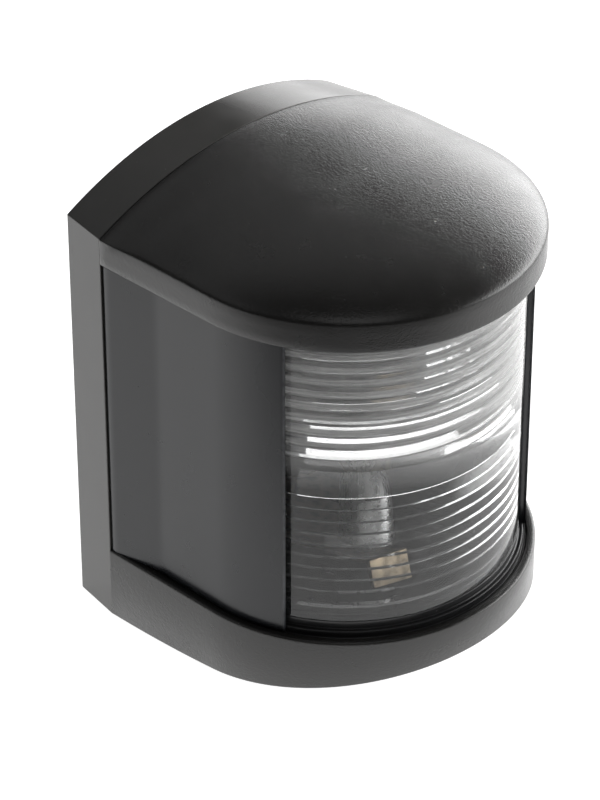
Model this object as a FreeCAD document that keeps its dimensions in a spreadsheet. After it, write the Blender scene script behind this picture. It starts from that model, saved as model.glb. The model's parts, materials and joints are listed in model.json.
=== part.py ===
import FreeCAD, Part
import math
import os
import Sketcher

# Navigation side light: a shallow base screwed to the boat carries a festoon lamp
# between two brass springs, and a removable cover (hood, tray, two side shields and a
# ribbed lens) closes it.  Everything is drawn in millimetres with the mounting face on
# the plane y = 0, the front towards -Y and heights measured up from the lower edge of
# the base; each finished piece is then lowered so that the origin is the centre of the
# mounting face.

os.makedirs("parts", exist_ok=True)
doc = FreeCAD.newDocument("navigation_light")

DIMENSIONS = {
    # outside form
    "overall_height": 85.0,
    "crease_height": 77.6,
    "band_height": 4.9,
    "base_depth": 9.6,
    "base_half_width": 33.2,
    "base_back_half_width": 31.4,
    "cover_radius": 33.4,
    "nose_centre_depth": 34.6,
    "dome_sag": 0.9,
    "dome_fullness": 2.4,
    "dome_shoulder_share": 0.55,
    "dome_settle_length": 12.0,
    "hood_wall": 1.7,
    "tray_height": 14.1,
    "tray_nose_lift": 7.7,
    "tray_wall": 2.0,
    "tray_rim": 1.5,
    "tray_floor_top": 11.2,
    "tray_floor_thickness": 2.2,
    "part_gap": 0.05,
    # base interior
    "base_floor": 2.6,
    "base_wall": 3.0,
    "seal_inset": 0.9,
    "seal_width": 1.2,
    "seal_depth": 1.2,
    "fixing_spacing": 44.0,
    "fixing_hole_radius": 2.25,
    "fixing_head_radius": 4.3,
    "fixing_boss_radius": 6.0,
    "fixing_boss_height": 4.0,
    "fixing_head_depth": 3.0,
    "cable_height": 22.0,
    "cable_hole_radius": 5.0,
    "cable_radius": 2.6,
    "grommet_flange_radius": 6.6,
    "grommet_flange_thickness": 2.0,
    # cover retaining screw
    "screw_depth": 5.0,
    "screw_radius": 1.5,
    "screw_clearance_radius": 1.75,
    "screw_head_radius": 2.8,
    "screw_head_height": 1.2,
    "counterbore_radius": 3.1,
    "counterbore_depth": 1.7,
    "washer_thickness": 0.4,
    "tongue_half_width": 5.6,
    "tongue_thickness": 1.8,
    "tongue_back_gap": 0.5,
    "lug_half_width": 6.0,
    "lug_bottom": 5.0,
    "lug_top": 12.4,
    "insert_radius": 2.3,
    "insert_length": 5.8,
    "insert_recess": 0.1,
    "lug_front_gap": 0.3,
    # side shields
    "shield_radius": 31.7,
    "shield_thickness": 1.25,
    "left_shield_end_angle": 67.5,
    "right_shield_end_angle": 45.0,
    "shield_end_gap": 1.0,
    "shield_flare": 1.45,
    "shield_flare_start": 21.0,
    "shield_flare_end": 11.6,
    "shield_back_gap": 0.5,
    # lens
    "lens_radius": 30.3,
    "lens_thickness": 3.0,
    "lens_bottom": 16.55,
    "lens_top": 74.0,
    "lens_half_angle": 84.0,
    "lens_centre_height": 43.4,
    "bullseye_half_height": 2.72,
    "ring_pitch": 2.36,
    "ring_relief": 0.86,
    "lens_index": 1.49,
    # lens seat and seal
    "seat_inner_radius": 25.8,
    "seat_ledge_radius": 31.75,
    "seat_ledge_top": 13.6,
    "seat_step_radius": 31.2,
    "seat_step_top": 15.0,
    "seat_top": 16.5,
    "seat_lip_radius": 27.2,
    "seat_lip_top": 18.0,
    "seat_extra_angle": 4.0,
    "upper_seal_height": 0.95,
    # lamp and its holder
    "lamp_depth": 39.0,
    "lamp_length": 43.0,
    "bulb_radius": 5.4,
    "bulb_length": 27.0,
    "bulb_wall": 0.6,
    "bulb_neck_radius": 3.6,
    "cap_radius": 4.25,
    "cap_wall": 0.5,
    "cap_skirt": 6.0,
    "cap_tip_radius": 1.4,
    "cap_cone": 1.6,
    "tip_length": 0.5,
    "coil_radius": 0.8,
    "coil_pitch": 0.6,
    "coil_height": 12.0,
    "wire_radius": 0.12,
    "carrier_back": 6.0,
    "carrier_thickness": 2.5,
    "carrier_half_width": 8.0,
    "carrier_half_height": 25.5,
    "carrier_screw_offset": 6.5,
    "post_radius": 3.2,
    "carrier_screw_radius": 1.1,
    "carrier_screw_head_radius": 2.3,
    "carrier_screw_grip": 2.5,
    "carrier_pilot_depth": 5.0,
    "contact_thickness": 0.6,
    "contact_half_width": 4.0,
    "contact_foot": 11.0,
    "contact_overhang": 4.5,
    "contact_lip": 4.5,
    "contact_hole_radius": 1.46,
    "rivet_offset": 2.4,
    "rivet_rise": 3.0,
    "rivet_radius": 0.9,
    "rivet_head_radius": 1.5,
    "rivet_head_height": 0.7,
    "terminal_rise": 7.6,
    "terminal_radius": 1.5,
    "terminal_head_radius": 2.6,
    "terminal_head_height": 1.6,
    "terminal_length": 4.2,
    "running_clearance": 0.06,
}

sheet = doc.addObject("Spreadsheet::Sheet", "Dims")
for row, (alias, number) in enumerate(DIMENSIONS.items(), start=1):
    sheet.set("A%d" % row, str(number))
    sheet.setAlias("A%d" % row, alias)
doc.recompute()


class Size:
    """A length or angle that carries both its number and its sheet expression."""

    def __init__(self, number, text):
        self.number = number
        self.text = text

    @staticmethod
    def of(value):
        return value if isinstance(value, Size) else Size(float(value), "%g" % value)

    def __add__(self, other):
        other = Size.of(other)
        return Size(self.number + other.number, "(%s + %s)" % (self.text, other.text))

    def __radd__(self, other):
        return Size.of(other) + self

    def __sub__(self, other):
        other = Size.of(other)
        return Size(self.number - other.number, "(%s - %s)" % (self.text, other.text))

    def __rsub__(self, other):
        return Size.of(other) - self

    def __mul__(self, other):
        other = Size.of(other)
        return Size(self.number * other.number, "(%s * %s)" % (self.text, other.text))

    __rmul__ = __mul__

    def __truediv__(self, other):
        other = Size.of(other)
        return Size(self.number / other.number, "(%s / %s)" % (self.text, other.text))

    def __neg__(self):
        return Size(-self.number, "(0 - %s)" % self.text)

    def cos(self):
        return Size(math.cos(math.radians(self.number)), "cos(%s * 1deg)" % self.text)

    def sin(self):
        return Size(math.sin(math.radians(self.number)), "sin(%s * 1deg)" % self.text)


class Dimensions:
    """Every sheet alias as a Size attribute."""

    def __init__(self):
        for alias in DIMENSIONS:
            setattr(self, alias, Size(float(sheet.get(alias)), "Dims.%s" % alias))


D = Dimensions()

# Heights and depths that several pieces share.
ORIGIN_HEIGHT = D.overall_height / 2
BAND_BOTTOM = D.crease_height - D.band_height
ARCH_RISE = D.overall_height - D.crease_height
TRAY_FLOOR_BOTTOM = D.tray_floor_top - D.tray_floor_thickness
CARRIER_FRONT = D.carrier_back + D.carrier_thickness
CONTACT_FRONT = CARRIER_FRONT + D.contact_thickness
LAMP_HALF = D.lamp_length / 2
NOSE = FreeCAD.Vector(0, -D.nose_centre_depth.number, 0)

RINGS_ABOVE = 11
RINGS_BELOW = 9

# The radius of a half circle is drawn this much over half its chord, so that rounding
# never makes the chord longer than the circle is wide.
HALF_ROUND = 1.0000001
# A screwdriver slot as shares of the head's radius (width) and height (depth).
SLOT_WIDTH_SHARE = 0.3
SLOT_DEPTH_SHARE = 0.5
# The contacts' end lips lean forward by this share of their height.
CONTACT_LIP_LEAN = 0.25
# How far cutting outlines run past the piece they cut.
OVERRUN = 2

sub_parts = []


# ---------------------------------------------------------------- general helpers


def keep(obj, label):
    """Name a finished sub-part and lower it to the origin height."""
    obj.Label = label
    obj.setExpression("Placement.Base.z", (-ORIGIN_HEIGHT).text)
    sub_parts.append(obj)
    return obj


def new_body(label):
    return keep(doc.addObject("PartDesign::Body", label), label)


def new_sketch(body, name, plane, offset=0.0):
    """Sketch on one of the body's own origin planes, moved along its normal."""
    sketch = body.newObject("Sketcher::SketchObject", name)
    support = [f for f in body.Origin.OriginFeatures if f.Role == plane][0]
    sketch.AttachmentSupport = [(support, "")]
    sketch.MapMode = "FlatFace"
    offset = Size.of(offset)
    sketch.AttachmentOffset = FreeCAD.Placement(
        FreeCAD.Vector(0, 0, offset.number), FreeCAD.Rotation()
    )
    sketch.setExpression("AttachmentOffset.Base.z", offset.text)
    return sketch


def bind_constraint(sketch, kind, *arguments):
    """Add a dimensional constraint whose last argument is a Size."""
    size = Size.of(arguments[-1])
    index = sketch.addConstraint(Sketcher.Constraint(kind, *arguments[:-1], size.number))
    sketch.setExpression("Constraints[%d]" % index, size.text)


def add_outline(sketch, corners, arcs=()):
    """Closed outline through the corners; arcs maps an edge number to its radius.

    A positive radius bulges to the right of the direction of travel, a negative one
    to the left.
    """
    arcs = dict(arcs)
    points = [FreeCAD.Vector(Size.of(x).number, Size.of(y).number, 0) for x, y in corners]
    count = len(points)
    first = len(sketch.Geometry)
    start_point = {}
    end_point = {}
    for i in range(count):
        a = points[i]
        b = points[(i + 1) % count]
        if i in arcs:
            radius = Size.of(arcs[i]).number
            chord = b - a
            normal = FreeCAD.Vector(chord.y, -chord.x, 0).normalize()
            sagitta = abs(radius) - math.sqrt(radius**2 - (chord.Length / 2) ** 2)
            middle = (a + b) * 0.5 + normal * math.copysign(sagitta, radius)
            arc = Part.Arc(a, middle, b).toShape().Curve
            centre = arc.Center
            angle_a = math.atan2(a.y - centre.y, a.x - centre.x)
            angle_b = math.atan2(b.y - centre.y, b.x - centre.x)
            circle = Part.Circle(centre, FreeCAD.Vector(0, 0, 1), abs(radius))
            if radius > 0:
                sketch.addGeometry(Part.ArcOfCircle(circle, angle_a, angle_b), False)
                start_point[i], end_point[i] = 1, 2
            else:
                sketch.addGeometry(Part.ArcOfCircle(circle, angle_b, angle_a), False)
                start_point[i], end_point[i] = 2, 1
        else:
            sketch.addGeometry(Part.LineSegment(a, b), False)
            start_point[i], end_point[i] = 1, 2
    for i in range(count):
        following = (i + 1) % count
        sketch.addConstraint(
            Sketcher.Constraint(
                "Coincident",
                first + i,
                end_point[i],
                first + following,
                start_point[following],
            )
        )
        x, y = corners[i]
        bind_constraint(sketch, "DistanceX", -1, 1, first + i, start_point[i], x)
        bind_constraint(sketch, "DistanceY", -1, 1, first + i, start_point[i], y)
        if i in arcs:
            radius = Size.of(arcs[i])
            bind_constraint(
                sketch, "Radius", first + i, radius if radius.number > 0 else -radius
            )


def add_circle(sketch, x, y, radius):
    x, y, radius = Size.of(x), Size.of(y), Size.of(radius)
    circle = Part.Circle(
        FreeCAD.Vector(x.number, y.number, 0), FreeCAD.Vector(0, 0, 1), radius.number
    )
    index = sketch.addGeometry(circle, False)
    bind_constraint(sketch, "DistanceX", -1, 1, index, 3, x)
    bind_constraint(sketch, "DistanceY", -1, 1, index, 3, y)
    bind_constraint(sketch, "Radius", index, radius)


def arched_outline(sketch, half_width, inset):
    """Outline of the base: flat bottom, straight sides and an arched top."""
    rise = ARCH_RISE
    radius = (half_width * half_width + rise * rise) / (2 * rise) - inset
    side = half_width - inset
    # the inset arch keeps its centre, so its ends rise or fall with the inset
    centre_height = D.overall_height - (half_width * half_width + rise * rise) / (2 * rise)
    drop = math.sqrt(radius.number**2 - side.number**2)
    shoulder = centre_height + Size(
        drop, "sqrt(%s * %s - %s * %s)" % (radius.text, radius.text, side.text, side.text)
    )
    add_outline(
        sketch,
        [(-side, inset), (side, inset), (side, shoulder), (-side, shoulder)],
        {2: radius},
    )


def cover_outline(sketch, inset, back_depth):
    """Plan of the cover: straight sides running into a half-round nose."""
    radius = D.cover_radius - inset
    add_outline(
        sketch,
        [
            (-radius, -back_depth),
            (-radius, -D.nose_centre_depth),
            (radius, -D.nose_centre_depth),
            (radius, -back_depth),
        ],
        {1: radius * HALF_ROUND},
    )


def pad(body, sketch, length, name, midplane=False):
    feature = body.newObject("PartDesign::Pad", name)
    feature.Profile = sketch
    feature.Length = Size.of(length).number
    feature.setExpression("Length", Size.of(length).text)
    feature.Midplane = midplane
    doc.recompute()
    return feature


def pocket(body, sketch, length, name, upwards=False, through=False, midplane=False):
    """Cut into the body; `upwards` cuts along the sketch normal instead of against it."""
    before = body.Shape.Volume
    feature = body.newObject("PartDesign::Pocket", name)
    feature.Profile = sketch
    feature.Reversed = upwards
    feature.Midplane = midplane
    if through:
        feature.Type = 1
    else:
        feature.Length = Size.of(length).number
        feature.setExpression("Length", Size.of(length).text)
    doc.recompute()
    if not body.Shape.Volume < before:
        raise RuntimeError("pocket %s removed nothing" % name)
    return feature


def place(obj, x, y, z, axis=None, angle=0):
    """Position a primitive by expressions; the axis and angle turn it."""
    if axis is not None:
        obj.Placement = FreeCAD.Placement(
            FreeCAD.Vector(), FreeCAD.Rotation(FreeCAD.Vector(*axis), angle)
        )
    for letter, value in zip("xyz", (x, y, z)):
        obj.setExpression("Placement.Base.%s" % letter, Size.of(value).text)
    return obj


def primitive(kind, name, **sizes):
    obj = doc.addObject("Part::" + kind, name)
    for prop, size in sizes.items():
        obj.setExpression(prop, Size.of(size).text)
    return obj


def cut(name, base, tool):
    obj = doc.addObject("Part::Cut", name)
    obj.Base = base
    obj.Tool = tool
    return obj


def fuse(name, *shapes):
    obj = doc.addObject("Part::MultiFuse", name)
    obj.Shapes = list(shapes)
    return obj


def compound(name, *shapes):
    obj = doc.addObject("Part::Compound", name)
    obj.Links = list(shapes)
    return obj


def forward_cylinder(name, radius, x, depth, z, length):
    """Cylinder along Y from `depth` behind the front towards -Y."""
    rod = primitive("Cylinder", name, Radius=radius, Height=length)
    return place(rod, x, -depth, z, axis=(1, 0, 0), angle=90)


def ring_sector(name, inner, outer, bottom, top, left_angle, right_angle=None):
    """Upright ring about the nose centre, from one angle off the front to the other."""
    right_angle = left_angle if right_angle is None else right_angle
    solids = []
    for suffix, radius in (("_outer", outer), ("_inner", inner)):
        solid = primitive(
            "Cylinder", name + suffix, Radius=radius, Height=top - bottom
        )
        if suffix == "_outer":
            solid.setExpression("Angle", (left_angle + right_angle).text)
        start = -90 - left_angle.number
        place(solid, 0, -D.nose_centre_depth, bottom, axis=(0, 0, 1), angle=start)
        solids.append(solid)
    return cut(name, *solids)


# ---------------------------------------------------------------- base


def build_base_housing():
    body = new_body("base_housing")
    back = new_sketch(body, "base_back_outline", "XZ_Plane")
    arched_outline(back, D.base_back_half_width, Size.of(0))
    front = new_sketch(body, "base_front_outline", "XZ_Plane", D.base_depth)
    arched_outline(front, D.base_half_width, Size.of(0))
    loft = body.newObject("PartDesign::AdditiveLoft", "base_block")
    loft.Profile = back
    loft.Sections = [front]
    loft.Ruled = True
    doc.recompute()

    cavity = new_sketch(body, "base_cavity_outline", "XZ_Plane", D.base_depth)
    arched_outline(cavity, D.base_half_width, D.base_wall)
    pocket(body, cavity, D.base_depth - D.base_floor, "base_cavity")

    groove = new_sketch(body, "seal_groove_outline", "XZ_Plane", D.base_depth)
    arched_outline(groove, D.base_half_width, D.seal_inset)
    arched_outline(groove, D.base_half_width, D.seal_inset + D.seal_width)
    pocket(body, groove, D.seal_depth, "seal_groove")

    bosses = new_sketch(body, "fixing_boss_outline", "XZ_Plane", D.base_floor)
    for side in (-1, 1):
        add_circle(bosses, side * D.fixing_spacing / 2, ORIGIN_HEIGHT, D.fixing_boss_radius)
    pad(body, bosses, D.fixing_boss_height, "fixing_bosses")

    posts = new_sketch(body, "carrier_post_outline", "XZ_Plane", D.base_floor)
    for side in (-1, 1):
        height = D.lens_centre_height + side * D.carrier_screw_offset
        add_circle(posts, 0, height, D.post_radius)
    pad(body, posts, D.carrier_back - D.base_floor, "carrier_posts")

    lug = new_sketch(body, "screw_lug_outline", "XZ_Plane", D.base_floor)
    wide = D.lug_half_width
    add_outline(
        lug,
        [(-wide, D.lug_bottom), (wide, D.lug_bottom), (wide, D.lug_top), (-wide, D.lug_top)],
    )
    pad(body, lug, D.base_depth - D.base_floor - D.lug_front_gap, "screw_lug")

    boss_front = D.base_floor + D.fixing_boss_height
    heads = new_sketch(body, "fixing_head_recess", "XZ_Plane", boss_front)
    holes = new_sketch(body, "fixing_hole_circles", "XZ_Plane", boss_front)
    for side in (-1, 1):
        x = side * D.fixing_spacing / 2
        add_circle(heads, x, ORIGIN_HEIGHT, D.fixing_head_radius)
        add_circle(holes, x, ORIGIN_HEIGHT, D.fixing_hole_radius)
    pocket(body, heads, D.fixing_head_depth, "fixing_head_recesses")
    pocket(body, holes, 0, "fixing_holes", through=True)

    cable = new_sketch(body, "cable_hole_circle", "XZ_Plane", D.base_floor)
    add_circle(cable, 0, D.cable_height, D.cable_hole_radius)
    pocket(body, cable, 0, "cable_hole", through=True)

    pilots = new_sketch(body, "carrier_pilot_circles", "XZ_Plane", D.carrier_back)
    for side in (-1, 1):
        height = D.lens_centre_height + side * D.carrier_screw_offset
        add_circle(pilots, 0, height, D.carrier_screw_radius)
    pocket(body, pilots, D.carrier_pilot_depth, "carrier_pilots")

    for name, bottom, radius, length in (
        ("screw_counterbore", Size.of(0), D.counterbore_radius, D.counterbore_depth),
        ("screw_passage", Size.of(0), D.screw_clearance_radius, D.lug_bottom),
        ("insert_hole", D.lug_bottom, D.insert_radius, D.insert_length + 2 * D.insert_recess),
    ):
        hole = new_sketch(body, name + "_circle", "XY_Plane", bottom)
        add_circle(hole, 0, -D.screw_depth, radius)
        pocket(body, hole, length, name, upwards=True)


def build_cover_seal():
    """Rubber cord lying flush in the groove round the rim of the base."""
    body = new_body("cover_seal")
    side_gap = 0.02
    outline = new_sketch(body, "seal_outline", "XZ_Plane", D.base_depth - D.seal_depth)
    arched_outline(outline, D.base_half_width, D.seal_inset + side_gap)
    inner = D.seal_inset + D.seal_width - side_gap
    arched_outline(outline, D.base_half_width, inner)
    pad(body, outline, D.seal_depth, "seal_cord")


def build_cable_grommet():
    plug = forward_cylinder(
        "grommet_plug", D.cable_hole_radius, 0, Size.of(0), D.cable_height, D.base_floor
    )
    flange = forward_cylinder(
        "grommet_flange",
        D.grommet_flange_radius,
        0,
        D.base_floor,
        D.cable_height,
        D.grommet_flange_thickness,
    )
    bore = forward_cylinder(
        "grommet_bore",
        D.cable_radius,
        0,
        Size.of(-OVERRUN),
        D.cable_height,
        D.base_floor + D.grommet_flange_thickness + 2 * OVERRUN,
    )
    keep(cut("cable_grommet", fuse("grommet_solid", plug, flange), bore), "cable_grommet")


def slotted_screw(name, head_radius, head_height, shank_radius, shank_length):
    """Slotted cheese-head screw with its head on z = 0 and its shank towards +Z."""
    head = primitive("Cylinder", name + "_head", Radius=head_radius, Height=head_height)
    shank = primitive(
        "Cylinder",
        name + "_shank",
        Radius=shank_radius,
        Height=head_height + shank_length,
    )
    slot_width = head_radius * SLOT_WIDTH_SHARE
    slot_reach = head_radius + OVERRUN
    slot = primitive(
        "Box",
        name + "_slot",
        Length=2 * slot_reach,
        Width=slot_width,
        Height=head_height * SLOT_DEPTH_SHARE,
    )
    place(slot, -slot_reach, -slot_width / 2, 0)
    return cut(name, fuse(name + "_solid", head, shank), slot)


def build_retaining_screw():
    """Screw from below through the cover's tongue into the base, with its washer."""
    washer_top = D.counterbore_depth - D.part_gap / 2
    washer_bottom = washer_top - D.washer_thickness
    head_bottom = washer_bottom - D.part_gap / 2 - D.screw_head_height
    length = D.lug_bottom + D.insert_length - head_bottom - D.screw_head_height
    screw = slotted_screw(
        "retaining_screw", D.screw_head_radius, D.screw_head_height, D.screw_radius, length
    )
    keep(screw, "retaining_screw")
    place(screw, 0, -D.screw_depth, head_bottom - ORIGIN_HEIGHT)

    disc = primitive(
        "Cylinder", "washer_disc", Radius=D.screw_head_radius, Height=D.washer_thickness
    )
    hole = primitive(
        "Cylinder",
        "washer_hole",
        Radius=D.screw_radius + D.running_clearance,
        Height=D.washer_thickness,
    )
    washer = keep(cut("retaining_washer", disc, hole), "retaining_washer")
    place(washer, 0, -D.screw_depth, washer_bottom - ORIGIN_HEIGHT)


def build_retaining_insert():
    sleeve = primitive(
        "Cylinder", "insert_sleeve", Radius=D.insert_radius, Height=D.insert_length
    )
    thread = primitive(
        "Cylinder",
        "insert_thread",
        Radius=D.screw_radius + D.running_clearance,
        Height=D.insert_length,
    )
    insert = keep(cut("retaining_insert", sleeve, thread), "retaining_insert")
    place(insert, 0, -D.screw_depth, D.lug_bottom + D.insert_recess - ORIGIN_HEIGHT)


# ---------------------------------------------------------------- cover


def dome_height(fraction, half_width, depth_from_joint):
    """Height of the dome above its crease at `fraction` of the half width.

    At the joint with the base the section is the base's own circular arch.  Further
    forward it fills out at the shoulders into a superellipse and sinks a little.
    """
    straight = D.nose_centre_depth.number - D.base_depth.number
    travel = min(depth_from_joint / straight, 1.0)
    rise = ARCH_RISE.number - D.dome_sag.number * travel * travel * (3 - 2 * travel)
    arch_radius = (half_width**2 + rise**2) / (2 * rise)
    across = fraction * half_width
    arch = math.sqrt(arch_radius**2 - across**2) - (arch_radius - rise)
    full = rise * math.sqrt(max(0.0, 1 - fraction**D.dome_fullness.number))
    blend = min(depth_from_joint / D.dome_settle_length.number, 1.0)
    blend = blend * blend * (3 - 2 * blend) * D.dome_shoulder_share.number
    return (1 - blend) * arch + blend * full


def dome_half_profile(half_width, crease, depth_from_joint):
    """Points of one shoulder, from the crook at the crease to the crown."""
    steps = 9
    points = []
    for i in range(steps + 1):
        angle = math.pi / 2 * i / steps
        fraction = math.cos(angle) ** (2 / D.dome_fullness.number)
        if i == steps:
            fraction = 0.0
        height = dome_height(fraction, half_width, depth_from_joint)
        points.append((fraction * half_width, crease + height))
    return points


def dome_solid(half_width, bottom, crease):
    """Block under the dome: a loft along the straight part and a turned nose."""
    centre = D.nose_centre_depth.number
    joint = D.base_depth.number + D.part_gap.number / 2
    sections = []
    for travel in (0.0, 3.0, 7.0, 12.0, 18.0, centre - joint):
        depth = joint + travel
        half = dome_half_profile(half_width, crease, travel)
        right = [FreeCAD.Vector(x, -depth, z) for x, z in half]
        left = [FreeCAD.Vector(-p.x, p.y, p.z) for p in reversed(right)]
        low_right = FreeCAD.Vector(half_width, -depth, bottom)
        low_left = FreeCAD.Vector(-half_width, -depth, bottom)
        edges = [
            Part.LineSegment(low_left, low_right).toShape(),
            Part.LineSegment(low_right, right[0]).toShape(),
            interpolated_edge(right),
            interpolated_edge(left),
            Part.LineSegment(left[-1], low_left).toShape(),
        ]
        sections.append(Part.Wire(edges))
    straight = Part.makeLoft(sections, True, False)

    half = dome_half_profile(half_width, crease, centre - joint)
    curve = [FreeCAD.Vector(x, -centre, z) for x, z in half]
    foot = FreeCAD.Vector(half_width, -centre, bottom)
    hub = FreeCAD.Vector(0, -centre, bottom)
    wire = Part.Wire(
        [
            Part.LineSegment(hub, foot).toShape(),
            Part.LineSegment(foot, curve[0]).toShape(),
            interpolated_edge(curve),
            Part.LineSegment(curve[-1], hub).toShape(),
        ]
    )
    nose = Part.Face(wire).revolve(NOSE, FreeCAD.Vector(0, 0, 1), -180)
    return straight.fuse(nose).removeSplitter()


def interpolated_edge(points):
    """Smooth curve through the points, with the same parameters for every section."""
    last = len(points) - 1
    curve = Part.BSplineCurve()
    curve.interpolate(Points=points, Parameters=[i / last for i in range(last + 1)])
    return curve.toShape()


def build_hood_cap():
    """Domed roof with its upright band, hollow underneath."""
    wall = D.hood_wall.number
    radius = D.cover_radius.number
    crease = D.crease_height.number
    bottom = BAND_BOTTOM.number
    outside = dome_solid(radius, bottom, crease)
    inside = dome_solid(radius - wall, bottom - OVERRUN, crease - wall)
    # a lip hanging from the roof presses the upper seal on to the lens
    lip_bottom = D.lens_top.number + D.upper_seal_height.number + D.part_gap.number
    lens_outer = D.lens_radius.number
    lens_inner = lens_outer - D.lens_thickness.number
    foot = NOSE + FreeCAD.Vector(0, 0, lip_bottom)
    tall = D.overall_height.number - lip_bottom
    lip = Part.makeCylinder(lens_outer, tall, foot)
    lip = lip.cut(Part.makeCylinder(lens_inner, tall, foot))
    front_corner = foot + FreeCAD.Vector(-2 * radius, -2 * radius, 0)
    front = Part.makeBox(4 * radius, 2 * radius, tall, front_corner)
    inside = inside.cut(lip.common(front))
    hood = doc.addObject("Part::Feature", "hood_cap")
    hood.Shape = outside.cut(inside)
    hood.Placement = FreeCAD.Placement(FreeCAD.Vector(), FreeCAD.Rotation())
    keep(hood, "hood_cap")


def build_lower_tray():
    """Tray under the lens, with an arched underside and a tongue for the screw."""
    body = new_body("lower_tray")
    joint = D.base_depth + D.part_gap / 2
    plan = new_sketch(body, "tray_plan", "XY_Plane")
    cover_outline(plan, Size.of(0), joint)
    pad(body, plan, D.tray_height, "tray_block")

    nose = D.nose_centre_depth + D.cover_radius
    far = nose + OVERRUN
    reach = far - joint
    lift = D.tray_nose_lift
    arch_radius = (reach * reach + lift * lift) / (2 * lift)
    underside = new_sketch(body, "tray_underside_arc", "YZ_Plane")
    add_outline(
        underside,
        [(-joint, 0), (-joint, -OVERRUN), (-far, -OVERRUN), (-far, lift)],
        {3: arch_radius},
    )
    pocket(body, underside, 4 * D.cover_radius, "tray_underside", midplane=True)

    recess = new_sketch(body, "tray_recess_plan", "XY_Plane", D.tray_height)
    cover_outline(recess, D.tray_rim, joint + D.tray_wall)
    pocket(body, recess, D.tray_height - D.tray_floor_top, "tray_recess")

    hollow = new_sketch(body, "tray_hollow_plan", "XY_Plane")
    cover_outline(hollow, D.tray_wall, joint + D.tray_wall)
    pocket(body, hollow, TRAY_FLOOR_BOTTOM, "tray_hollow", upwards=True)

    tongue_bottom = D.base_wall + D.part_gap
    back = D.base_floor + D.tongue_back_gap
    wide = D.tongue_half_width
    tongue = new_sketch(body, "tongue_plan", "XY_Plane", tongue_bottom)
    front = joint + D.tray_wall / 2
    add_outline(tongue, [(-wide, -front), (wide, -front), (wide, -back), (-wide, -back)])
    pad(body, tongue, D.tongue_thickness, "tongue")

    slot = new_sketch(body, "tongue_slot_plan", "XY_Plane", tongue_bottom)
    half = D.screw_clearance_radius
    add_outline(
        slot,
        [(-half, -back), (-half, -D.screw_depth), (half, -D.screw_depth), (half, -back)],
        {1: half * HALF_ROUND},
    )
    pocket(body, slot, D.tongue_thickness, "tongue_slot", upwards=True)


def build_side_shields():
    """Opaque cheeks beside the lens; their ends leave the light a sector of 112.5 degrees."""
    build_side_shield("side_shield_right", 1, D.right_shield_end_angle)
    build_side_shield("side_shield_left", -1, D.left_shield_end_angle)


def build_side_shield(label, side, end):
    """One cheek, on the +X side when `side` is 1; its rear edge flares to meet the base."""
    body = new_body(label)
    outer = D.shield_radius
    inner = outer - D.shield_thickness
    rib_outer = outer - D.shield_thickness / 4
    centre = D.nose_centre_depth
    back = D.base_depth + D.shield_back_gap

    def slab(name, corners, arcs, bottom, top):
        sketch = new_sketch(body, name + "_plan", "XY_Plane", bottom)
        add_outline(
            sketch,
            [(side * x, y) for x, y in corners],
            {edge: side * radius for edge, radius in arcs.items()},
        )
        pad(body, sketch, top - bottom, name)

    cheek = [
        (inner * end.sin(), -centre - inner * end.cos()),
        (outer * end.sin(), -centre - outer * end.cos()),
        (outer, -centre),
        (outer, -D.shield_flare_start),
        (outer + D.shield_flare, -D.shield_flare_end),
        (outer + D.shield_flare, -back),
        (inner + D.shield_flare, -back),
        (inner + D.shield_flare, -D.shield_flare_end),
        (inner, -D.shield_flare_start),
        (inner, -centre),
    ]
    bottom = D.tray_height + D.part_gap
    slab(label + "_cheek", cheek, {1: outer, 9: -inner}, bottom, BAND_BOTTOM - D.part_gap)

    # locating rib on the inside, long enough to enter the tray and the hood
    rib = [
        (inner * end.sin(), -centre - inner * end.cos()),
        (rib_outer * end.sin(), -centre - rib_outer * end.cos()),
        (rib_outer, -centre),
        (rib_outer, -D.shield_flare_start),
        (inner, -D.shield_flare_start),
        (inner, -centre),
    ]
    bottom = D.seat_ledge_top + D.part_gap
    slab(label + "_rib", rib, {1: rib_outer, 5: -inner}, bottom, D.lens_top)


def ring_tilt(height):
    """Slope of the ring at `height` that turns the lamp's light level, in degrees."""
    toward = math.atan(height / (D.lens_radius.number - D.lens_thickness.number))
    index = D.lens_index.number
    return math.degrees(math.atan(math.sin(toward) / (index - math.cos(toward))))


def ring_depth(near):
    """How much thinner the lens is at the far edge of the ring that begins at `near`."""
    tilt = Size.of(round(ring_tilt(near.number + D.ring_pitch.number / 2), 2))
    return D.ring_pitch * D.ring_relief * tilt.sin() / tilt.cos()


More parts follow.
